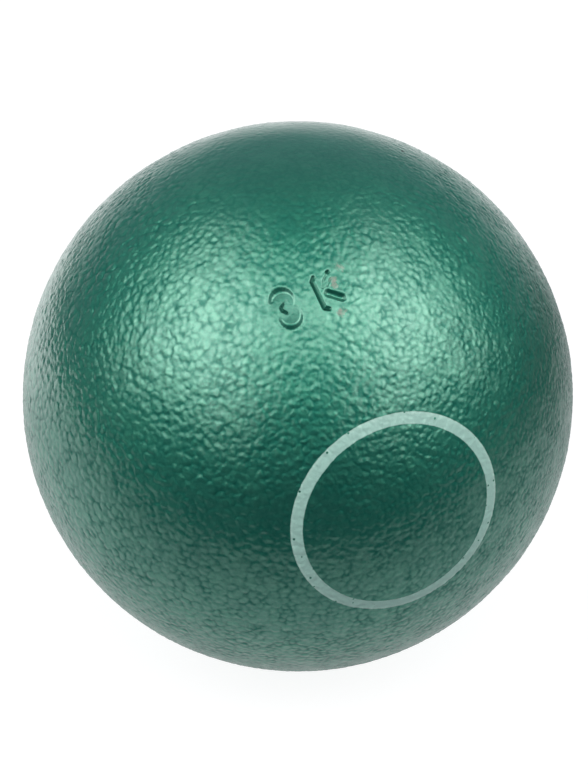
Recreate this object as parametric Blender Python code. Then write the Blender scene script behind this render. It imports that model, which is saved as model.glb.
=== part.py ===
"""A 3 kg shot for putting: a cast-iron ball whose mass is trimmed with lead behind a screw plug.

The origin is the ball's centre, +Z is up and +Y is the axis of the trim bore, whose mouth faces the back.
Every piece is turned about that axis, so its profile is a list of (radius, height) points in metres,
with the height measured from the ball's centre towards the mouth of the bore.
"""

from math import asin, cos, pi, radians, sin, sqrt, tan

import bmesh
import bpy

# The ball. Solid grey iron of this diameter, trimmed, weighs 3 kg.
BALL_DIAMETER = 0.093
BALL_SEGMENTS = 88
BALL_ARC_STEPS = 44

# The trim bore, drilled for an M16 thread and tapped at its mouth.
BORE_DIAMETER = 0.014
BORE_DEPTH = 0.036
DRILL_POINT_ANGLE = radians(118)
THREAD_DIAMETER = 0.016
THREAD_DEPTH = 0.013
THREAD_RUN_OUT = 0.001
MOUTH_CHAMFER = 0.0006
BORE_SEGMENTS = 56

# The plug, a slotted brass screw whose outer face is turned to the ball's radius.
PLUG_LENGTH = 0.0115
PLUG_SINK = 0.0002
PLUG_EDGE_BREAK = 0.0003
PLUG_LEAD_CHAMFER = 0.0012
PLUG_FACE_STEPS = 6
SLOT_WIDTH = 0.0025
SLOT_DEPTH = 0.0028

# The lead: a tamped slug that fills the bore, and thin discs that bring the shot to its mass.
DISC_COUNT = 3
DISC_THICKNESS = 0.0015
DISC_ROLLED_EDGE = 0.0004
PUNCH_DIAMETER = 0.010
PUNCH_PRINT_DEPTH = 0.0006

# Neighbouring pieces touch on the real shot. Here they stand this far apart.
CLEARANCE = 0.0003

MERGE = 0.00001
SHARP_EDGE = radians(25)

BALL_RADIUS = BALL_DIAMETER / 2
BORE_RADIUS = BORE_DIAMETER / 2
THREAD_RADIUS = THREAD_DIAMETER / 2
MOUTH_RADIUS = THREAD_RADIUS + MOUTH_CHAMFER
BORE_FLOOR = BALL_RADIUS - BORE_DEPTH
SHOULDER = BALL_RADIUS - THREAD_DEPTH
PLUG_INNER_END = BALL_RADIUS - PLUG_LENGTH


def clear_scene():
    for obj in list(bpy.data.objects):
        bpy.data.objects.remove(obj, do_unlink=True)


def finish(name, color, roughness, metallic):
    """A material with one even colour and gloss."""
    material = bpy.data.materials.new(name)
    material.use_nodes = True
    shader = material.node_tree.nodes["Principled BSDF"]
    shader.inputs["Base Color"].default_value = (*color, 1)
    shader.inputs["Roughness"].default_value = roughness
    shader.inputs["Metallic"].default_value = metallic
    return material


def add_axis(name):
    """An empty at the ball's centre whose own Z runs along the trim bore, towards the back."""
    axis = bpy.data.objects.new(name, None)
    axis.empty_display_size = BALL_RADIUS
    axis.rotation_euler = (-pi / 2, 0, 0)
    bpy.context.scene.collection.objects.link(axis)
    return axis


def add_object(name, mesh, axis, material):
    obj = bpy.data.objects.new(name, mesh)
    obj.data.materials.append(material)
    obj.parent = axis
    bpy.context.scene.collection.objects.link(obj)
    return obj


def sphere_height(radius, at):
    """How high a sphere of this radius about the ball's centre stands at the distance 'at' from the axis."""
    return sqrt(radius * radius - at * at)


def sphere_arc(radius, start, end, steps):
    """Points on a sphere about the ball's centre, from one angle off the axis to another."""
    angles = [start + (end - start) * step / steps for step in range(steps + 1)]
    return [(radius * sin(angle), radius * cos(angle)) for angle in angles]


def drill_point(radius):
    """How deep the cone is that a twist drill of this radius leaves."""
    return radius / tan(DRILL_POINT_ANGLE / 2)


def turned(name, profile, segments, axis, material):
    """A solid of revolution. The profile starts and ends on the axis, and comes down its outer side."""
    mesh = bpy.data.meshes.new(name)
    shape = bmesh.new()
    points = [shape.verts.new((radius, 0, height)) for radius, height in profile]
    for first, second in zip(points, points[1:]):
        shape.edges.new((first, second))
    shape.to_mesh(mesh)
    shape.free()
    obj = add_object(name, mesh, axis, material)
    screw = obj.modifiers.new("turning", "SCREW")
    screw.axis = "Z"
    screw.steps = segments
    screw.render_steps = segments
    screw.use_merge_vertices = True
    screw.merge_threshold = MERGE
    screw.use_smooth_shade = True
    return obj


def make_solid(obj):
    """Applies the object's modifiers, so that its edges can be shaded and cut."""
    graph = bpy.context.evaluated_depsgraph_get()
    mesh = bpy.data.meshes.new_from_object(obj.evaluated_get(graph))
    obj.modifiers.clear()
    obj.data = mesh
    mesh.shade_smooth()
    mesh.set_sharp_from_angle(angle=SHARP_EDGE)


def ball_profile():
    """Up the wall of the bore from its drilled floor, over the chamfered mouth and round the ball."""
    mouth_angle = asin(MOUTH_RADIUS / BALL_RADIUS)
    mouth_height = sphere_height(BALL_RADIUS, MOUTH_RADIUS)
    bore = [
        (0, BORE_FLOOR - drill_point(BORE_RADIUS)),
        (BORE_RADIUS, BORE_FLOOR),
        (BORE_RADIUS, SHOULDER),
        (THREAD_RADIUS, SHOULDER + THREAD_RUN_OUT),
        (THREAD_RADIUS, mouth_height - MOUTH_CHAMFER),
    ]
    return bore + sphere_arc(BALL_RADIUS, mouth_angle, pi, BALL_ARC_STEPS)


def plug_profile():
    """From the middle of the domed face, over its broken edge, down the side and round the lead chamfer."""
    face_radius = BALL_RADIUS - PLUG_SINK
    side = THREAD_RADIUS - CLEARANCE
    face_edge = side - PLUG_EDGE_BREAK
    face = sphere_arc(face_radius, 0, asin(face_edge / face_radius), PLUG_FACE_STEPS)
    edge_height = sphere_height(face_radius, face_edge) - PLUG_EDGE_BREAK
    return face + [
        (side, edge_height),
        (side, PLUG_INNER_END + PLUG_LEAD_CHAMFER),
        (side - PLUG_LEAD_CHAMFER, PLUG_INNER_END),
        (0, PLUG_INNER_END),
    ]


def disc_profile(top):
    """A punched lead disc. Its upper edge is rolled over by the punch, its lower edge is square."""
    radius = BORE_RADIUS - CLEARANCE
    return [
        (0, top),
        (radius - DISC_ROLLED_EDGE, top),
        (radius, top - DISC_ROLLED_EDGE),
        (radius, top - DISC_THICKNESS),
        (0, top - DISC_THICKNESS),
    ]


def slug_profile(top):
    """The tamped slug: the print of the round punch on top, and below it the shape of the drilled floor."""
    radius = BORE_RADIUS - CLEARANCE
    punch_radius = PUNCH_DIAMETER / 2
    floor = BORE_FLOOR + CLEARANCE
    return [
        (0, top - PUNCH_PRINT_DEPTH),
        (punch_radius, top - PUNCH_PRINT_DEPTH),
        (punch_radius + PUNCH_PRINT_DEPTH, top),
        (radius, top),
        (radius, floor),
        (0, floor - drill_point(radius)),
    ]


def add_slot_cutter(axis):
    """The saw that cuts the plug's slot: a bar right across its face."""
    cutter_top = BALL_RADIUS + SLOT_DEPTH
    slot_floor = BALL_RADIUS - PLUG_SINK - SLOT_DEPTH
    mesh = bpy.data.meshes.new("slot_cutter")
    shape = bmesh.new()
    bmesh.ops.create_cube(shape, size=1)
    size = (THREAD_DIAMETER * 1.5, SLOT_WIDTH, cutter_top - slot_floor)
    bmesh.ops.scale(shape, vec=size, verts=shape.verts)
    bmesh.ops.translate(shape, vec=(0, 0, (cutter_top + slot_floor) / 2), verts=shape.verts)
    shape.to_mesh(mesh)
    shape.free()
    cutter = bpy.data.objects.new("slot_cutter", mesh)
    cutter.parent = axis
    cutter.hide_render = True
    cutter.display_type = "WIRE"
    bpy.context.scene.collection.objects.link(cutter)
    return cutter


def cut(obj, cutter):
    modifier = obj.modifiers.new(cutter.name, "BOOLEAN")
    modifier.operation = "DIFFERENCE"
    modifier.solver = "EXACT"
    modifier.object = cutter


def build_ball(axis):
    enamel = finish("hammered_green_enamel", (0.045, 0.22, 0.165), 0.3, 0.5)
    ball = turned("ball_casting", ball_profile(), BALL_SEGMENTS, axis, enamel)
    make_solid(ball)


def build_lead(axis):
    lead = finish("soft_lead", (0.20, 0.21, 0.23), 0.55, 1.0)
    top = PLUG_INNER_END - CLEARANCE
    for number in range(DISC_COUNT, 0, -1):
        disc = turned(f"trim_disc_{number}", disc_profile(top), BORE_SEGMENTS, axis, lead)
        make_solid(disc)
        top -= DISC_THICKNESS + CLEARANCE
    make_solid(turned("lead_slug", slug_profile(top), BORE_SEGMENTS, axis, lead))


def build_plug(axis):
    brass = finish("turned_brass", (0.62, 0.43, 0.16), 0.3, 1.0)
    plug = turned("trim_plug", plug_profile(), BORE_SEGMENTS, axis, brass)
    make_solid(plug)
    cut(plug, add_slot_cutter(axis))


clear_scene()
bore_axis = add_axis("trim_bore_axis")
bpy.context.view_layer.update()
build_ball(bore_axis)
build_lead(bore_axis)
build_plug(bore_axis)
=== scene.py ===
"""A 3 kg putting shot: hammered green enamel over cast iron, stamped 3 K, closed behind by a brass trim plug.

Metres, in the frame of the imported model: the origin is the ball's centre, +Z is up and the trim bore opens
at +Y.
"""

from math import atan2, cos, pi, radians, sin, sqrt, tan

import bmesh
import bpy
import numpy as np
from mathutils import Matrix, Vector, noise
from mathutils.kdtree import KDTree


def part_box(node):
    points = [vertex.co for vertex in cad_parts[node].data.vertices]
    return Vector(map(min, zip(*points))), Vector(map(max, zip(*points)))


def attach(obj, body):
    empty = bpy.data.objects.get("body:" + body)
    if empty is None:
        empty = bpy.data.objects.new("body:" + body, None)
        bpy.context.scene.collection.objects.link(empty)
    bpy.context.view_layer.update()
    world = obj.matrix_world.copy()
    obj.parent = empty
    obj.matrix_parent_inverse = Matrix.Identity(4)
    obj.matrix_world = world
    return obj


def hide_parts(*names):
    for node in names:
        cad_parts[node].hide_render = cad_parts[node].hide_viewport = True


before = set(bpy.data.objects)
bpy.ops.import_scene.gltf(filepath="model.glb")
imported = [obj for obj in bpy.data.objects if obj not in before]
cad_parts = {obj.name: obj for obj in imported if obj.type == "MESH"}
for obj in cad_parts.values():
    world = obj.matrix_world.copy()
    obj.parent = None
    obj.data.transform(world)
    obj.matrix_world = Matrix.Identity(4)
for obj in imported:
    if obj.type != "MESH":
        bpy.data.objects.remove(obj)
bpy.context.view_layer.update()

# The ball casting.
# Solid grey iron, cast and turned round. Its mesh is fine enough everywhere to carry the relief of the
# enamel, whose pebbles are one to two millimetres across.
BALL_RADIUS = -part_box("ball_casting")[0][1]
SPHERE_LEVELS = 9

casting = bmesh.new()
bmesh.ops.create_icosphere(casting, subdivisions=SPHERE_LEVELS, radius=BALL_RADIUS)

# The mass mark, 3 K.
# It is struck by hand with letter punches before painting, which leaves V-shaped grooves with a small burr
# outside. The punches were held askew: the 3's bowls are deep on one side and dished inside, and the K's arm
# is only two light lines with a dot at the end.
MARK_LONGITUDE = radians(2.5)
MARK_LATITUDE = radians(47.3)
MARK_REACH = 0.0085
GROOVE_DEPTH = 0.0004
GROOVE_ROUNDING = 0.12
DISH_FADE = 1.1
BURR_HEIGHT = 0.000025
BURR_WIDTH = 0.18
LIGHTEST_STRIKE = 0.22
# Where painted shade darkens the grooves: how far down the groove on its left wall and over its bottom,
# after how hard a strike, and how much of it a dish holds.
WALL_SHADE = (0.05, 0.2)
BOTTOM_SHADE = (0.6, 0.8)
SHADING_STRIKE = (0.35, 0.55)
DISH_SHADE = 0.6
FINE_PASSES = 2
FINE_MARGIN = 0.4


def direction(longitude, latitude):
    """A direction from the ball's centre. Longitude 0 faces the front, -Y, and grows towards +X."""
    flat = cos(latitude)
    return np.array((sin(longitude) * flat, -cos(longitude) * flat, sin(latitude)))


def bowl(middle, radius, start, end, deepest, steps=20):
    """A letter's round bowl, clockwise between two angles in degrees, struck hardest at the deepest one."""
    angles = np.radians(np.linspace(start, end, steps))
    strikes = LIGHTEST_STRIKE + (1 - LIGHTEST_STRIKE) * np.cos((angles - radians(deepest)) / 2) ** 4
    return [(middle[0] + radius * cos(angle), middle[1] + radius * sin(angle), strike)
            for angle, strike in zip(angles, strikes)]


# Each stroke of the punches: the run of its groove's bottom, in mm across and up the mark and with the share
# of the full depth at each point, the full widths of its walls on the left and right of that run, how far the
# right one's foot stays sunk where the letter is dished, and how much painted shade darkens the bottom.
MARK_STROKES = (
    # the upper bowl, the lower bowl and the waist of the 3
    (bowl((-3.65, 0.12), 1.5, 168, -70, 115), 1.05, 1.4, 0.5, 0),
    (bowl((-2.6, -1.8), 1.35, 110, -145, -82), 1.1, 1.3, 0.5, 0),
    ([(-3.05, -1.5, 0.9), (-3.7, -1.15, 1), (-3.85, -0.7, 1), (-3.5, -0.15, 0.8)], 0.5, 0.35, 0, 1),
    # the stem and the leg of the K, and the two lines and the dot of its arm
    ([(3.1, -1.0, 0.8), (2.45, -0.85, 0.9), (0.8, 3.2, 0.9), (0.95, 3.8, 0.8)], 0.6, 0.42, 0, 1),
    ([(3.0, 1.3, 1), (5.0, 0.65, 1)], 0.85, 0.65, 0, 0),
    ([(2.25, 2.2, 0.35), (2.4, 3.4, 0.42), (2.75, 4.2, 0.42)], 0.6, 0.6, 0, 1),
    ([(2.95, 2.6, 0.35), (3.4, 3.7, 0.42)], 0.6, 0.6, 0, 1),
    ([(2.95, 4.7, 0.9), (3.1, 4.8, 0.9)], 0.4, 0.4, 0, 1),
)


def stroke_levels(spots, stroke):
    """At spots of the mark: the iron's level in shares of the depth, painted shade, and mm off the groove."""
    path, left_width, right_width, foot, bottom_shade = stroke
    nearest = np.full(len(spots), MARK_REACH * 1000)
    side = np.zeros(len(spots))
    strike = np.ones(len(spots))
    for start, end in zip(path, path[1:]):
        run = np.subtract(end, start)
        offset = spots - start[:2]
        along = np.clip(offset @ run[:2] / (run[:2] @ run[:2]), 0, 1)
        away = offset - along[:, None] * run[:2]
        distance = np.maximum(np.hypot(away[:, 0], away[:, 1]), 1e-6)
        turned = (run[0] * away[:, 1] - run[1] * away[:, 0]) / (np.hypot(*run[:2]) * distance)
        side = np.where(distance < nearest, turned, side)
        strike = np.where(distance < nearest, start[2] + along * run[2], strike)
        nearest = np.minimum(distance, nearest)
    left = (1 + side) / 2
    width = strike * (left * left_width + (1 - left) * right_width)
    wall = np.maximum(1 - np.sqrt((nearest / width) ** 2 + GROOVE_ROUNDING ** 2), 0)
    top = strike * (1 - GROOVE_ROUNDING)
    dish = top + (foot - top) * np.minimum(nearest / right_width, 1)
    dish *= np.clip(1 - (nearest - right_width) / DISH_FADE, 0, 1) * (1 - left) * (foot > 0)
    burr = strike * left * np.exp(-((nearest - width - BURR_WIDTH) / BURR_WIDTH) ** 2)
    level = burr * BURR_HEIGHT / GROOVE_DEPTH - np.maximum(wall * strike, dish)
    # Painted shade: the groove's left wall and its bottom are darkened where shade would fall.
    at_bottom = np.interp(wall, BOTTOM_SHADE, (0, 1))
    painted_pool = np.maximum(left * np.interp(wall, WALL_SHADE, (0, 1)), at_bottom)
    painted_pool *= (1 - at_bottom * (1 - bottom_shade)) * np.interp(strike, SHADING_STRIKE, (0, 1))
    return level, np.maximum(painted_pool, dish * DISH_SHADE), nearest - width


def mark_levels(points):
    """At points near the mark: its relief in metres, where painted shade darkens it, and mm off its grooves.
    """
    normal = direction(MARK_LONGITUDE, MARK_LATITUDE)
    across = np.cross((0, 0, 1), normal)
    across /= np.linalg.norm(across)
    spots = points @ np.transpose((across, np.cross(normal, across))) * 1000
    strokes = [stroke_levels(spots, stroke) for stroke in MARK_STROKES]
    levels, pools, outside = np.transpose(strokes, (1, 0, 2))
    level = np.where(levels.min(axis=0) < 0, levels.min(axis=0), levels.max(axis=0))
    return level * GROOVE_DEPTH, pools.max(axis=0), outside.min(axis=0)


mark_middle = Vector(direction(MARK_LONGITUDE, MARK_LATITUDE) * BALL_RADIUS)
for _ in range(FINE_PASSES):
    near = [vert for vert in casting.verts if (vert.co - mark_middle).length < MARK_REACH]
    outside = mark_levels(np.array([vert.co for vert in near]))[2]
    close = dict.fromkeys(vert for vert, gap in zip(near, outside) if gap < FINE_MARGIN)
    touched = dict.fromkeys(edge for vert in close for edge in vert.link_edges)
    edges = [edge for edge in touched if all(vert in close for vert in edge.verts)]
    bmesh.ops.subdivide_edges(casting, edges=edges, cuts=1, use_grid_fill=True)

# The trim bore.
# A blind hole drilled into the back of the ball, with a 118 degree point, and tapped M16 x 2 at its mouth for
# the plug. The enamel ends in a rounded lip at the mouth, and inside the hole the iron is bare.
plug_low, plug_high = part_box("trim_plug")
FIT_GAP = 0.0003
THREAD_RADIUS = plug_high[0] + FIT_GAP
MOUTH_CHAMFER = 0.0006
MOUTH_RADIUS = THREAD_RADIUS + MOUTH_CHAMFER
MOUTH_HEIGHT = sqrt(BALL_RADIUS ** 2 - MOUTH_RADIUS ** 2)
THREAD_PITCH = 0.002
THREAD_HEIGHT = 0.001
THREAD_STEEPNESS = 2.6
THREAD_ROWS_PER_TURN = 8
THREAD_DEPTH = 0.013
THREAD_RUN_OUT = 0.001
BORE_RADIUS = 0.007
BORE_DEPTH = 0.036
DRILL_POINT_ANGLE = radians(118)
LIP_RADIUS = 0.00012
ENAMEL_SLOT, IRON_SLOT = 0, 1


def thread_wave(angle, height):
    """0 at the crests of the internal thread and 1 at its roots. A steepness above 2 leaves flats on both."""
    turn = (height / THREAD_PITCH - angle / (2 * pi)) % 1
    return min(max(0.5 + THREAD_STEEPNESS * (abs(turn - 0.5) - 0.25), 0), 1)


def tapped_radius(angle, height):
    """The tapped hole's radius. The thread runs out over its last turn and at the mouth."""
    start = min((MOUTH_HEIGHT - MOUTH_CHAMFER - height) / THREAD_PITCH, 1)
    end = min((height - BALL_RADIUS + THREAD_DEPTH) / THREAD_RUN_OUT, 1)
    crest = THREAD_RADIUS - THREAD_HEIGHT * min(max(start, 0), 1) * min(max(end, 0), 1)
    return crest + (THREAD_RADIUS - crest) * thread_wave(angle, height)


def add_ring(shape, rim, radius_at, height, slot):
    """A ring of faces from a rim of vertices down to a new one, whose radius is given by angle and height."""
    ring = []
    for vert in rim:
        angle = atan2(vert.co.z, vert.co.x)
        radius = radius_at(angle, height)
        ring.append(shape.verts.new((radius * cos(angle), height, radius * sin(angle))))
    for number in range(len(rim)):
        face = shape.faces.new((rim[number - 1], rim[number], ring[number], ring[number - 1]))
        face.material_index = slot
    return ring


def close_ring(shape, rim, height, slot):
    """The fan of faces that closes a rim on the bore's axis."""
    tip = shape.verts.new((0, height, 0))
    for number in range(len(rim)):
        face = shape.faces.new((rim[number - 1], rim[number], tip))
        face.material_index = slot


coated = casting.verts.layers.float.new("coated")
for vert in casting.verts:
    vert[coated] = 1
tapped_top = MOUTH_HEIGHT - MOUTH_CHAMFER
cap = [vert for vert in casting.verts if vert.co.y > tapped_top]
cap_parts = dict.fromkeys(part for vert in cap for part in (*vert.link_edges, *vert.link_faces))
cut = bmesh.ops.bisect_plane(casting, geom=cap + list(cap_parts), dist=1e-7,
                             plane_co=(0, MOUTH_HEIGHT, 0), plane_no=(0, 1, 0), clear_outer=True)
rim = sorted((part for part in cut["geom_cut"] if isinstance(part, bmesh.types.BMVert)),
             key=lambda vert: atan2(vert.co.z, vert.co.x))
for inward in (0.5, 1):
    rim = add_ring(casting, rim, lambda angle, height: MOUTH_RADIUS - LIP_RADIUS * inward,
                   MOUTH_HEIGHT - LIP_RADIUS * inward * inward, ENAMEL_SLOT)
tapped_bottom = BALL_RADIUS - THREAD_DEPTH
row_count = round((tapped_top - tapped_bottom) / THREAD_PITCH * THREAD_ROWS_PER_TURN)
for row in range(row_count + 1):
    height = tapped_top + (tapped_bottom - tapped_top) * row / row_count
    rim = add_ring(casting, rim, tapped_radius, height, IRON_SLOT)
bore_floor = BALL_RADIUS - BORE_DEPTH
for height in (tapped_bottom - THREAD_RUN_OUT, bore_floor):
    rim = add_ring(casting, rim, lambda angle, height: BORE_RADIUS, height, IRON_SLOT)
close_ring(casting, rim, bore_floor - BORE_RADIUS / tan(DRILL_POINT_ANGLE / 2), IRON_SLOT)
bmesh.ops.recalc_face_normals(casting, faces=casting.faces)
skin = bpy.data.meshes.new("enamelled_ball")
casting.to_mesh(skin)
casting.free()

# The enamel's relief.
# Hammer-finish enamel is sprayed on and baked. As it dries it draws up into rounded pebbles, which lean a
# little every way and run together here and there, with shallow valleys between them. They are smaller at the
# ball's right, and on top of the ball the enamel flowed out nearly smooth.
CELL_SEED = 41
# The least spacing of each size of pebble, and how many of that size are tried. Large ones go first.
CELL_SIZES = ((0.0021, 1000), (0.0015, 6000), (0.001, 45000), (0.0007, 160000))
CELLS_SMALLER_RIGHT = 0.3
WARP_SIZE = 0.0009
WARP_REACH = 0.00045
DOME_SLOPE = 0.075
LEAN = 0.03
VALLEY_WIDTH = 0.00056
VALLEY_DEPTH = 0.000044
# The share of a valley that is left between two pebbles that join fully, and in a patch where many join.
FAINTEST_VALLEY = 0.2
JOINED_VALLEY = 0.4
JOINED_SIZE = 0.0028
PARTED_MEAN = 0.6
PARTED_SPREAD = 1.8
FINE_SIZES = (0.0009, 0.00045)
FINE_SLOPE = 0.065
SWELL_SIZE = 0.0065
SWELL_HEIGHT = 0.00007
FLOWED_LATITUDE = radians(58)
FLOWED_SHARE = 0.8
MOUTH_FADE = 0.001
MARK_SMOOTHNESS = 0.2
MARK_FADE = 0.6


def search_tree(spots):
    """The spots, ready for a search of those nearest a point."""
    tree = KDTree(len(spots))
    for number, spot in enumerate(spots):
        tree.insert(spot, number)
    tree.balance()
    return tree


def cell_middles():
    """Directions of the pebbles' middles. Each keeps the ones after it at their mean spacing."""
    rng = np.random.default_rng(CELL_SEED)
    sizes, tries = zip(*CELL_SIZES)
    spacings = np.repeat(sizes, tries) / BALL_RADIUS
    darts = rng.normal(size=(len(spacings), 3))
    darts /= np.linalg.norm(darts, axis=1, keepdims=True)
    spacings *= 1 - CELLS_SMALLER_RIGHT * darts[:, 0]
    tree = search_tree(darts)
    free = np.ones(len(darts), bool)
    kept = []
    for number, dart in enumerate(darts):
        if free[number]:
            kept.append(number)
            for _, other, gap in tree.find_range(dart, spacings[number]):
                if 2 * gap < spacings[number] + spacings[other]:
                    free[other] = False
    return darts[kept]


def lumps(points, size):
    """Smooth noise at each point, mostly from -0.5 to 0.5, whose lumps are about this far apart."""
    return np.array([noise.noise(point) for point in (points / size).tolist()])


def drift(points, size):
    """A smooth sideways wander of each point, in shares of the full reach."""
    return np.array([noise.noise_vector(point) for point in (points / size).tolist()])


points = np.empty(3 * len(skin.vertices))
skin.vertices.foreach_get("co", points)
points = points.reshape(-1, 3)
on_skin = np.empty(len(points))
skin.attributes["coated"].data.foreach_get("value", on_skin)
on_skin = np.flatnonzero(on_skin)
ball_points = points[on_skin]

# The nearest pebble to each point of the skin, the next two, and how far off the three are.
middles = cell_middles() * BALL_RADIUS
tree = search_tree(middles)
# Blender's noise takes the seed too, as its vectors would otherwise differ from run to run.
noise.seed_set(CELL_SEED)
wandered = ball_points + WARP_REACH * drift(ball_points, WARP_SIZE)
nearest_three = (tree.find_n(point, 3) for point in wandered.tolist())
found = np.array([[spot[1:] for spot in spots] for spots in nearest_three])
cell, *others = found[:, :, 0].astype(int).T
first, second, third = found[:, :, 1].T

# What each pebble is by chance: how readily it joins its neighbours, its lean and its tone.
rng = np.random.default_rng(CELL_SEED)
bond = rng.random(len(middles))
lean = rng.normal(scale=LEAN, size=(len(middles), 3))
tones = rng.random(len(middles))

reach = (first + second) / 2
dome = 1 - (first / reach) ** 2
parted = np.clip(PARTED_MEAN + PARTED_SPREAD * lumps(ball_points, JOINED_SIZE), 0, 1)
valley = 0
for other, distance in zip(others, (second, third)):
    border = np.clip(1 - (distance - first) / 2 / VALLEY_WIDTH, 0, 1) ** 2
    valley += border * (FAINTEST_VALLEY + (1 - FAINTEST_VALLEY) * ((bond[cell] + bond[other]) % 1))
valley *= JOINED_VALLEY + (1 - JOINED_VALLEY) * parted
level = dome * (reach / 2 * DOME_SLOPE + np.sum(lean[cell] * (wandered - middles[cell]), axis=1))
level -= VALLEY_DEPTH * valley
for size in FINE_SIZES:
    level += FINE_SLOPE * size * lumps(ball_points, size)

flow_start = sin(FLOWED_LATITUDE)
flowed = np.clip((ball_points[:, 2] / BALL_RADIUS - flow_start) / (1 - flow_start), 0, 1)
level *= 1 - FLOWED_SHARE * flowed
level += SWELL_HEIGHT * lumps(ball_points, SWELL_SIZE)
from_mouth = np.hypot(ball_points[:, 0], ball_points[:, 2]) - MOUTH_RADIUS
level *= np.where(ball_points[:, 1] > 0, np.clip(from_mouth / MOUTH_FADE, 0, 1), 1)
seam = np.minimum(valley, 1) * (1 - FLOWED_SHARE * flowed)

# Painted shade in the mark: its grooves are darkened on one wall, over the bottom and in the dishes.
painted_shade = np.zeros(len(ball_points))
by_mark = np.flatnonzero(np.linalg.norm(ball_points - np.array(mark_middle), axis=1) < MARK_REACH)
groove, mark_shade, outside = mark_levels(ball_points[by_mark])
smoothed = np.clip(MARK_SMOOTHNESS + outside / MARK_FADE, MARK_SMOOTHNESS, 1)
level[by_mark] = level[by_mark] * smoothed + groove
seam[by_mark] *= smoothed
painted_shade[by_mark] = mark_shade

points[on_skin] *= 1 + level[:, None] / BALL_RADIUS
skin.vertices.foreach_set("co", points.ravel())
for name, values in (("seam", seam), ("tone", tones[cell]), ("painted_shade", painted_shade)):
    over_all = np.zeros(len(points))
    over_all[on_skin] = values
    skin.attributes.new(name, "FLOAT", "POINT").data.foreach_set("value", over_all)
skin.attributes.remove(skin.attributes["coated"])
skin.polygons.foreach_set("use_smooth", [True] * len(skin.polygons))
skin.update()
ball = bpy.data.objects.new("enamelled_ball", skin)
bpy.context.scene.collection.objects.link(ball)

# The enamel's colour.
# Green paint full of fine metal flake, under a clear glossy skin of its own. Some pebbles and patches came
# out paler, and the valleys are darker and shine less. The mark's grooves are painted nearly black, as
# painted shade.
GREEN = (0.026, 0.300, 0.216)
PALE_GREEN = (0.062, 0.412, 0.277)
SEAM_GREEN = (0.019, 0.232, 0.171)
PAINTED_SHADE_GREEN = (0.006, 0.078, 0.058)
PATCH_SIZE = 0.011
FLAKE_SIZE = 0.0004
# How far a pebble's own tone, the patch round it and the flake in it each make it paler, and what they have
# to pass together before it is.
TONE_SHARE = 0.4
PATCH_SHARE = 0.8
FLAKE_SHARE = 1.2
PALE_START = 0.7
SHADE_COVER = 0.9


class Field:
    """One output of a node, which varies over a surface. Sums written with it add Math nodes."""

    def __init__(self, tree, socket=None):
        self.tree = tree
        self.socket = socket

    def node(self, kind, settings=None, inputs=None, output=0):
        """Adds a node: its settings first, then the values or fields of its input sockets."""
        node = self.tree.nodes.new(kind)
        for name, value in (settings or {}).items():
            setattr(node, name, value)
        for name, value in (inputs or {}).items():
            if isinstance(value, Field):
                self.tree.links.new(value.socket, node.inputs[name])
            else:
                node.inputs[name].default_value = value
        return Field(self.tree, node.outputs[output] if node.outputs else None)

    def math(self, operation, *values):
        return self.node("ShaderNodeMath", {"operation": operation}, dict(enumerate(values)))

    def __add__(self, other):
        return self.math("ADD", self, other)

    def __radd__(self, other):
        return self.math("ADD", other, self)

    def __sub__(self, other):
        return self.math("SUBTRACT", self, other)

    def __rsub__(self, other):
        return self.math("SUBTRACT", other, self)

    def __mul__(self, other):
        return self.math("MULTIPLY", self, other)

    def __rmul__(self, other):
        return self.math("MULTIPLY", other, self)

    def span(self, low, high, start=0.0, end=1.0):
        """The field carried evenly from one span onto another, and held at its ends."""
        inputs = {"Value": self, "From Min": low, "From Max": high, "To Min": start, "To Max": end}
        return self.node("ShaderNodeMapRange", {"clamp": True}, inputs)


def new_finish(name):
    """An empty material, and the field that its nodes are added through."""
    material = bpy.data.materials.new(name)
    material.use_nodes = True
    material.node_tree.nodes.clear()
    return material, Field(material.node_tree)


def carried(paint, name):
    """A value that the mesh carries at its vertices."""
    return paint.node("ShaderNodeAttribute", {"attribute_name": name}, output=2)


def place(paint):
    """Where on the piece a point of the surface is, in metres."""
    return paint.node("ShaderNodeTexCoord", output="Object")


def cloud(paint, size, detail=2.0, roughness=0.5):
    """Soft noise between 0 and 1, whose lumps are about this far apart."""
    inputs = {"Vector": place(paint), "Scale": 1 / size, "Detail": detail, "Roughness": roughness}
    return paint.node("ShaderNodeTexNoise", None, inputs)


def blend(paint, factor, color, other):
    """A colour mixed towards another."""
    colors = [(*tint, 1) if isinstance(tint, tuple) else tint for tint in (color, other)]
    return paint.node("ShaderNodeMix", {"data_type": "RGBA"}, {0: factor, 6: colors[0], 7: colors[1]}, 2)


def finish_surface(paint, inputs):
    """Adds the material's one shader, with its inputs, and joins it to the output."""
    shader = paint.node("ShaderNodeBsdfPrincipled", None, inputs)
    paint.node("ShaderNodeOutputMaterial", None, {"Surface": shader})


enamel, paint = new_finish("hammered_green_enamel")
seam = carried(paint, "seam")
tone = carried(paint, "tone")
painted_shade = carried(paint, "painted_shade")
patch = cloud(paint, PATCH_SIZE, 3.0)
flake = cloud(paint, FLAKE_SIZE, 3.0)
paleness = (tone * TONE_SHARE + patch * PATCH_SHARE + flake * FLAKE_SHARE - PALE_START).span(0, 1)
body = blend(paint, paleness, GREEN, PALE_GREEN)
# The mark's grooves get painted shade, nearly black.
color = blend(paint, painted_shade * SHADE_COVER, blend(paint, seam, body, SEAM_GREEN), PAINTED_SHADE_GREEN)

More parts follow.
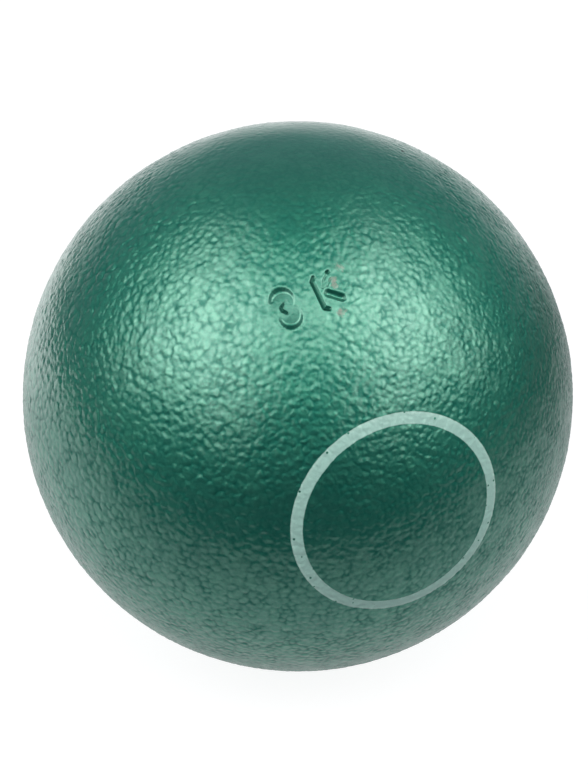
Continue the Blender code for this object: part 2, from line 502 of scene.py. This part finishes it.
# The printed ring.
# A circle of pale mint ink, pad-printed on the enamel below and beside the mass mark. The ink is paler along
# its outer edge and has a few pinholes. The place within it is left bare.
RING_LONGITUDE = radians(19.5)
RING_LATITUDE = radians(4.7)
RING_OUTER = 0.01659
RING_INNER = 0.01487
RING_EDGE = 0.00006
RING_RAGGEDNESS = 0.00008
RAGGED_SIZE = 0.0007
PINHOLE_SPACING = 0.0016
PINHOLE_RIM = (0.08, 0.14)
INK = (0.41, 0.72, 0.65)
INK_EDGE = (0.55, 0.84, 0.77)
INK_EDGE_WIDTH = 0.00022
INK_EDGE_COVER = 0.6
INK_FLAKE_COVER = 0.5


def ring_radius(paint):
    """How far the surface is from the ring's axis, and large on the other side of the ball."""
    inputs = {0: place(paint), 1: tuple(direction(RING_LONGITUDE, RING_LATITUDE))}
    off_axis = paint.node("ShaderNodeVectorMath", {"operation": "CROSS_PRODUCT"}, inputs)
    facing = paint.node("ShaderNodeVectorMath", {"operation": "DOT_PRODUCT"}, inputs, 1)
    radius = paint.node("ShaderNodeVectorMath", {"operation": "LENGTH"}, {0: off_axis}, 1)
    return radius + facing.span(0, 0.001, BALL_RADIUS, 0)


wobble = cloud(paint, RAGGED_SIZE) - 0.5
ring = ring_radius(paint) + wobble * RING_RAGGEDNESS
inside = ring.span(RING_OUTER - RING_EDGE, RING_OUTER + RING_EDGE, 1, 0)
inked = ring.span(RING_INNER - RING_EDGE, RING_INNER + RING_EDGE) * inside
pinholes = paint.node("ShaderNodeTexVoronoi", {"feature": "F1"},
                      {"Vector": place(paint), "Scale": 1 / PINHOLE_SPACING, "Randomness": 1.0})
ink_cover = inked * pinholes.span(*PINHOLE_RIM)
ink_edge = ring.span(RING_OUTER - 2 * INK_EDGE_WIDTH, RING_OUTER - INK_EDGE_WIDTH)
ink_body = blend(paint, flake * INK_FLAKE_COVER, INK, INK_EDGE)
ink_color = blend(paint, ink_edge * INK_EDGE_COVER, ink_body, INK_EDGE)
color = blend(paint, ink_cover, color, ink_color)

# Marks of use.
# Pinkish scuffs rubbed into the enamel round the K, and small chips knocked off against other shots, down to
# the dark iron. Each has its longitude and latitude in degrees, and its radius.
SCUFFS = (
    (10.3, 51.3, 0.0007),
    (10.2, 50.2, 0.0006),
    (10.9, 45.1, 0.0009),
    (12.6, 53.8, 0.0008),
)
CHIPS = (
    (67.0, -5.7, 0.00035),
    (104.0, 68.2, 0.0004),
    (72.0, 20.0, 0.00015),
    (-38.0, -22.0, 0.0002),
    (-95.0, 14.0, 0.0003),
    (140.0, 35.0, 0.0004),
    (205.0, -10.0, 0.0003),
    (172.0, -28.0, 0.0002),
)
SCUFF_PINK = (0.42, 0.36, 0.33)
SCUFF_CORE = 0.2
SCUFF_RAGGEDNESS = 2.4
SCUFF_COVER = 0.65
IRON_GREY = (0.03, 0.032, 0.034)
CHIP_CORE = 0.7
CHIP_RAGGEDNESS = 1.0
# The finish of the whole coat. Bare places, the painted shade in the mark and the valleys between pebbles
# lose gloss, the valleys less where they are seen at a low angle.
ENAMEL_METAL = 0.95
ENAMEL_ROUGHNESS = 0.42
BARE_DULLNESS = 0.6
SEAM_DULLNESS = (0.75, 0.2)
GRAZING_TURN = (0.5, 0.85)
SHADE_GLOSS = 0.1
GRAIN_HEIGHT = 0.00006


def marks_of_use(paint, marks, core, raggedness):
    """Where marks cover the surface. They are full out to a share of their radius, and have ragged edges."""
    cover = 0.0
    for longitude, latitude, radius in marks:
        middle = tuple(direction(radians(longitude), radians(latitude)) * BALL_RADIUS)
        inputs = {0: place(paint), 1: middle}
        away = paint.node("ShaderNodeVectorMath", {"operation": "DISTANCE"}, inputs, 1)
        cover += (away + wobble * (radius * raggedness)).span(radius * core, radius, 1, 0)
    return cover


scuffed = marks_of_use(paint, SCUFFS, SCUFF_CORE, SCUFF_RAGGEDNESS)
chipped = marks_of_use(paint, CHIPS, CHIP_CORE, CHIP_RAGGEDNESS)
scuff_cover = scuffed.span(0, 1, 0, SCUFF_COVER) * flake.span(0.3, 0.6, 0.3, 1)
color = blend(paint, scuff_cover, color, SCUFF_PINK)
color = blend(paint, chipped, color, IRON_GREY)
bare = (ink_cover + scuffed + chipped).span(0, 1)
grazing = paint.node("ShaderNodeLayerWeight", output="Facing")
seam_dullness = seam * grazing.span(*GRAZING_TURN, *SEAM_DULLNESS)
gloss = (1 - bare * BARE_DULLNESS) * (1 - seam_dullness) * painted_shade.span(0, 1, 1, SHADE_GLOSS)
grain = paint.node("ShaderNodeBump", None, {"Strength": 0.5, "Distance": GRAIN_HEIGHT, "Height": flake})
finish_surface(paint, {
    "Base Color": color,
    "Metallic": bare.span(0, 1, ENAMEL_METAL, 0),
    "Roughness": (bare * 0.1 + seam * 0.1 + flake * 0.1 + ENAMEL_ROUGHNESS).span(0, 1),
    "Coat Weight": gloss,
    "Coat Roughness": 0.2,
    "Coat IOR": 1.95,
    "Normal": grain,
})
skin.materials.append(enamel)

# The bore's bare iron.
# Grey iron as the drill and the tap left it, with fine tool marks. No enamel reaches in past the mouth's lip.
MACHINED_DARK = (0.16, 0.155, 0.15)
MACHINED_PALE = (0.27, 0.265, 0.26)
MACHINED_PATCH_SIZE = 0.003
TOOL_MARK_SIZE = 0.0004
TOOL_MARK_HEIGHT = 0.00003

iron, paint = new_finish("machined_iron")
tool_marks = cloud(paint, TOOL_MARK_SIZE)
tool_bump = paint.node("ShaderNodeBump", None,
                       {"Strength": 0.4, "Distance": TOOL_MARK_HEIGHT, "Height": tool_marks})
finish_surface(paint, {
    "Base Color": blend(paint, cloud(paint, MACHINED_PATCH_SIZE), MACHINED_DARK, MACHINED_PALE),
    "Metallic": 0.9,
    "Roughness": tool_marks.span(0, 1, 0.35, 0.6),
    "Normal": tool_bump,
})
skin.materials.append(iron)

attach(ball, "root")
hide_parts("ball_casting")

# The lead.
# A slug tamped into the drilled bore, and three thin discs punched from sheet, which bring the shot to its
# mass. Lead is bright where a tool has just pressed it, and dulls to a blue-grey bloom.
LEAD_DARK = (0.16, 0.17, 0.19)
LEAD_PALE = (0.33, 0.34, 0.36)
BLOOM_SIZE = 0.0025
DIMPLE_SIZE = 0.0008
DIMPLE_HEIGHT = 0.00008

lead, paint = new_finish("dull_lead")
bloom = cloud(paint, BLOOM_SIZE, 4.0, 0.6)
dimples = cloud(paint, DIMPLE_SIZE, 3.0)
lead_bump = paint.node("ShaderNodeBump", None,
                       {"Strength": 0.5, "Distance": DIMPLE_HEIGHT, "Height": dimples})
finish_surface(paint, {
    "Base Color": blend(paint, bloom, LEAD_DARK, LEAD_PALE),
    "Metallic": bloom.span(0.35, 0.65, 0.95, 0.6),
    "Roughness": bloom.span(0.3, 0.7, 0.42, 0.7),
    "Normal": lead_bump,
})
for name in ("lead_slug", "trim_disc_1", "trim_disc_2", "trim_disc_3"):
    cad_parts[name].material_slots[0].material = lead

# The trim plug.
# A brass screw, M16 x 2, run in on the lead and then turned off flush, so its face is part of the ball's own
# sphere and carries the fine rings of the lathe. A saw cut right across takes a wide screwdriver.
PLUG_COLUMNS = 96
PLUG_FACE_RINGS = 10
PLUG_EDGE_BREAK = 0.0003
PLUG_LEAD_CHAMFER = 0.0012
PLUG_THREAD_GAP = 0.00012
PLUG_SHARP_EDGE = radians(28)
SLOT_WIDTH = 0.0025
SLOT_DEPTH = 0.0028
SLOT_WORN_EDGE = 0.00018
SAW_STATIONS = 24
SAW_OVERRUN = 1.1

face_radius = plug_high[1]
plug_radius = THREAD_RADIUS - PLUG_THREAD_GAP
face_edge = plug_radius - PLUG_EDGE_BREAK
plug_top = sqrt(face_radius ** 2 - face_edge ** 2) - PLUG_EDGE_BREAK


def plug_side(angle, height):
    """The plug's thread, which follows the bore's at a small gap and fades into both its ends."""
    below = (height - plug_low[1]) / PLUG_LEAD_CHAMFER
    above = (plug_top - height) / THREAD_PITCH
    fade = min(max(min(below, above), 0), 1)
    root = plug_radius - THREAD_HEIGHT
    full = root + (plug_radius - root) * thread_wave(angle, height)
    taper = plug_radius - PLUG_LEAD_CHAMFER * max(1 - below, 0)
    return min(plug_radius + (full - plug_radius) * fade, taper)


plug_shape = bmesh.new()
plug_middle = plug_shape.verts.new((0, face_radius, 0))
radius = face_edge / PLUG_FACE_RINGS
height = sqrt(face_radius ** 2 - radius ** 2)
rim = []
for column in range(PLUG_COLUMNS):
    angle = 2 * pi * column / PLUG_COLUMNS
    rim.append(plug_shape.verts.new((radius * cos(angle), height, radius * sin(angle))))
for column in range(PLUG_COLUMNS):
    plug_shape.faces.new((rim[column - 1], rim[column], plug_middle))
for step in range(2, PLUG_FACE_RINGS + 1):
    radius = face_edge * step / PLUG_FACE_RINGS
    rim = add_ring(plug_shape, rim, lambda angle, height: radius, sqrt(face_radius ** 2 - radius ** 2), 0)
row_count = round((plug_top - plug_low[1]) / THREAD_PITCH * THREAD_ROWS_PER_TURN)
for row in range(row_count + 1):
    height = plug_top + (plug_low[1] - plug_top) * row / row_count
    rim = add_ring(plug_shape, rim, plug_side, height, 0)
close_ring(plug_shape, rim, plug_low[1], 0)
bmesh.ops.recalc_face_normals(plug_shape, faces=plug_shape.faces)
plug_mesh = bpy.data.meshes.new("slotted_plug")
plug_shape.to_mesh(plug_mesh)
plug_shape.free()
plug = bpy.data.objects.new("slotted_plug", plug_mesh)
bpy.context.scene.collection.objects.link(plug)

# The saw is a bar across the face, whose upper edges flare out where the slot's edges are worn.
saw_shape = bmesh.new()
half = SLOT_WIDTH / 2
flared = half + 2 * SLOT_WORN_EDGE
slot_floor = face_radius - SLOT_DEPTH
sections = []
for station in range(SAW_STATIONS + 1):
    across = THREAD_RADIUS * SAW_OVERRUN * (2 * station / SAW_STATIONS - 1)
    surface = sqrt(face_radius ** 2 - across ** 2)
    outline = (
        (-half, slot_floor), (half, slot_floor),
        (half, surface - SLOT_WORN_EDGE), (flared, surface + SLOT_WORN_EDGE),
        (flared, surface + SLOT_DEPTH), (-flared, surface + SLOT_DEPTH),
        (-flared, surface + SLOT_WORN_EDGE), (-half, surface - SLOT_WORN_EDGE),
    )
    sections.append([saw_shape.verts.new((across, height, side)) for side, height in outline])
for before, after in zip(sections, sections[1:]):
    for number in range(len(before)):
        saw_shape.faces.new((before[number - 1], before[number], after[number], after[number - 1]))
for end in (sections[0], sections[-1]):
    saw_shape.faces.new(end)
bmesh.ops.recalc_face_normals(saw_shape, faces=saw_shape.faces)
saw_mesh = bpy.data.meshes.new("saw")
saw_shape.to_mesh(saw_mesh)
saw_shape.free()
saw = bpy.data.objects.new("saw", saw_mesh)
bpy.context.scene.collection.objects.link(saw)
sawing = plug.modifiers.new("slot", "BOOLEAN")
sawing.operation = "DIFFERENCE"
sawing.object = saw
graph = bpy.context.evaluated_depsgraph_get()
plug.data = bpy.data.meshes.new_from_object(plug.evaluated_get(graph))
plug.modifiers.clear()
bpy.data.objects.remove(saw, do_unlink=True)
plug.data.shade_smooth()
plug.data.set_sharp_from_angle(angle=PLUG_SHARP_EDGE)

BRASS = (0.66, 0.47, 0.19)
TARNISHED_BRASS = (0.36, 0.245, 0.10)
TURNING_PITCH = 0.00022
TURNING_WANDER = 0.00005
WANDER_SIZE = 0.004
TARNISH_SIZE = 0.0045
SCRATCH_SIZE = 0.0003
TURNING_HEIGHT = 0.00002

brass, paint = new_finish("turned_brass")
off_axis = paint.node("ShaderNodeVectorMath", {"operation": "MULTIPLY"}, {0: place(paint), 1: (1, 0, 1)})
from_axis = paint.node("ShaderNodeVectorMath", {"operation": "LENGTH"}, {0: off_axis}, 1)
off_true = cloud(paint, WANDER_SIZE) * TURNING_WANDER
turned = paint.math("SINE", (from_axis + off_true) * (2 * pi / TURNING_PITCH)) * 0.5
tarnish = cloud(paint, TARNISH_SIZE, 4.0, 0.6)
scratches = cloud(paint, SCRATCH_SIZE)
brass_bump = paint.node("ShaderNodeBump", None,
                        {"Strength": 0.35, "Distance": TURNING_HEIGHT, "Height": turned + scratches * 0.5})
finish_surface(paint, {
    "Base Color": blend(paint, tarnish.span(0.4, 0.7), BRASS, TARNISHED_BRASS),
    "Metallic": 1.0,
    "Roughness": (tarnish * 0.3 + scratches * 0.15 + 0.12).span(0, 1),
    "Normal": brass_bump,
})
plug.data.materials.clear()
plug.data.materials.append(brass)
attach(plug, "root")
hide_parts("trim_plug")

# The table.
# A pale board under the ball, which ends close in front of it. Its colour is painted greyer towards the
# sides, as painted shade. Two places on it carry a painted glow that only the ball's reflections see: a faint
# glow round its foot, mostly to the left, and a bright pool behind, which starts farther back on the right.
# Seen directly it is white, and fades into the white surround.
TABLE_FRONT = -0.115
TABLE_BACK = 1.1
TABLE_SIDE = 1.1
TABLE_WHITE = (0.22, 0.22, 0.24)
SIDE_SHADE_GREY = (0.12, 0.12, 0.13)
SHADED_SIDES = (0.18, 0.42)
SEEN_GLOW = 0.9
FADE_TO_WHITE = (0.15, 0.5)
FOOT_GLOW = 0.5
FOOT_MIDDLE = -0.08
FOOT_SIDES = (0.12, 0.33)
POOL_GLOW = 0.9
POOL_MIDDLE = -0.05
POOL_SIDES = (0.25, 0.55)
POOL_FRONT = (0.12, 0.3)
POOL_SKEW = 0.5
POOL_BACK = (0.5, 1.1)
POOL_BACK_SHARE = 0.4

corners = ((-1, TABLE_FRONT), (1, TABLE_FRONT), (1, TABLE_BACK), (-1, TABLE_BACK))
table_mesh = bpy.data.meshes.new("table")
table_mesh.from_pydata([(side * TABLE_SIDE, depth, 0) for side, depth in corners], [], [(0, 1, 2, 3)])
table = bpy.data.objects.new("table", table_mesh)
table.location.z = points[:, 2].min()
bpy.context.scene.collection.objects.link(table)

board, paint = new_finish("pale_board")
seen = paint.node("ShaderNodeLightPath", output="Is Camera Ray")
mirrored = paint.node("ShaderNodeLightPath", output="Is Glossy Ray")
across = paint.node("ShaderNodeSeparateXYZ", None, {0: place(paint)}, "X")
depth = paint.node("ShaderNodeSeparateXYZ", None, {0: place(paint)}, "Y")
from_ball = paint.node("ShaderNodeVectorMath", {"operation": "LENGTH"}, {0: place(paint)}, 1)
# Painted light: the glow round the foot and the pool behind are emission that only glossy rays see.
foot = depth.span(TABLE_FRONT, 0.0) * paint.math("ABSOLUTE", across - FOOT_MIDDLE).span(*FOOT_SIDES, 1, 0)
painted_pool = paint.math("ABSOLUTE", across - POOL_MIDDLE).span(*POOL_SIDES, 1, 0)
painted_pool *= (depth - across * POOL_SKEW).span(*POOL_FRONT) * depth.span(*POOL_BACK, 1, POOL_BACK_SHARE)
glow = seen * from_ball.span(*FADE_TO_WHITE, SEEN_GLOW, 1) + mirrored * (foot * FOOT_GLOW + painted_pool * POOL_GLOW)
side_shade = paint.math("ABSOLUTE", across).span(*SHADED_SIDES)
finish_surface(paint, {
    "Base Color": blend(paint, side_shade, TABLE_WHITE, SIDE_SHADE_GREY),
    "Roughness": 0.9,
    "Specular IOR Level": 0.1,
    "Emission Color": blend(paint, glow, (0, 0, 0), (1, 1, 1)),
    "Emission Strength": 1.0,
})
table_mesh.materials.append(board)

# The light.
# Two large soft boxes stand high to the left and right of the camera, the left one wider. A dim room fills in
# round them, brighter behind the ball, where the ball also mirrors a pale band along the horizon.
BOX_HEIGHT = 1.5
BOX_DISTANCE = 0.95
BOX_COLOR = (1.0, 0.97, 0.91)
# Longitude and latitude seen from the ball, width, and the share of the full light.
SOFT_BOXES = (
    (-53.0, 47.0, 1.6, 0.97),
    (60.0, 47.0, 1.45, 0.99),
)
# Each soft box is brightest in its middle, so it is made of panes over each other: the share of its full
# size that each takes up, and how bright it is.
PANES = ((1.0, 0.4), (0.75, 0.66), (0.5, 0.85), (0.28, 1.3))
PANE_GAP = 0.01
ROOM_FRONT = (0.018, 0.03, 0.05)
ROOM_BACK = (0.16, 0.245, 0.27)
ROOM_TURN = (0.1, 0.8)
HORIZON_TURN = (0.5, 0.85)
HORIZON_TOP = 0.3
HORIZON_GLOW = 0.6

for number, (longitude, latitude, width, share) in enumerate(SOFT_BOXES):
    towards = Vector(direction(radians(longitude), radians(latitude)))
    for pane, (pane_share, radiance) in enumerate(PANES):
        lamp = bpy.data.lights.new(f"soft_box_{number + 1}_pane_{pane + 1}", "AREA")
        lamp.shape = "RECTANGLE"
        lamp.size = width * pane_share
        lamp.size_y = BOX_HEIGHT * pane_share
        lamp.energy = pi * lamp.size * lamp.size_y * radiance * share
        lamp.color = BOX_COLOR
        box = bpy.data.objects.new(lamp.name, lamp)
        box.location = towards * (BOX_DISTANCE + pane * PANE_GAP)
        box.rotation_euler = towards.to_track_quat("Z", "Y").to_euler()
        box.visible_camera = False
        bpy.context.scene.collection.objects.link(box)

world = bpy.data.worlds.new("room")
world.use_nodes = True
world.node_tree.nodes.clear()
room = Field(world.node_tree)
seen = room.node("ShaderNodeLightPath", output="Is Camera Ray")
mirrored = room.node("ShaderNodeLightPath", output="Is Glossy Ray")
heading = room.node("ShaderNodeTexCoord", output="Generated")
backward = room.node("ShaderNodeSeparateXYZ", None, {0: heading}, "Y")
upward = room.node("ShaderNodeSeparateXYZ", None, {0: heading}, "Z")
horizon = mirrored * backward.span(*HORIZON_TURN) * upward.span(0, HORIZON_TOP, HORIZON_GLOW, 0)
room_light = blend(room, backward.span(*ROOM_TURN), ROOM_FRONT, ROOM_BACK)
room_color = blend(room, seen + horizon, room_light, (1, 1, 1))
backdrop = room.node("ShaderNodeBackground", None, {"Color": room_color, "Strength": 1.0})
room.node("ShaderNodeOutputWorld", None, {"Surface": backdrop})
bpy.context.scene.world = world

# The camera.
# It looks down on the ball from the front. The ball's centre stands a little right of the picture's middle
# and below it.
CAMERA_LENS = 80.0
CAMERA_SENSOR = 36.0
CAMERA_ELEVATION = radians(30)
CAMERA_DISTANCE = 0.29824
AIM_RIGHT = -0.00065
AIM_UP = 0.00072

camera_data = bpy.data.cameras.new("camera")
camera_data.lens = CAMERA_LENS
camera_data.sensor_width = CAMERA_SENSOR
camera_data.clip_start = 0.01
camera = bpy.data.objects.new("camera", camera_data)
back = Vector(direction(0, CAMERA_ELEVATION))
up = Vector(direction(0, CAMERA_ELEVATION + pi / 2))
camera.location = back * CAMERA_DISTANCE + Vector((AIM_RIGHT, 0, 0)) + up * AIM_UP
camera.rotation_euler = (pi / 2 - CAMERA_ELEVATION, 0, 0)
bpy.context.scene.collection.objects.link(camera)
bpy.context.scene.camera = camera
bpy.context.scene.view_settings.view_transform = "Standard"
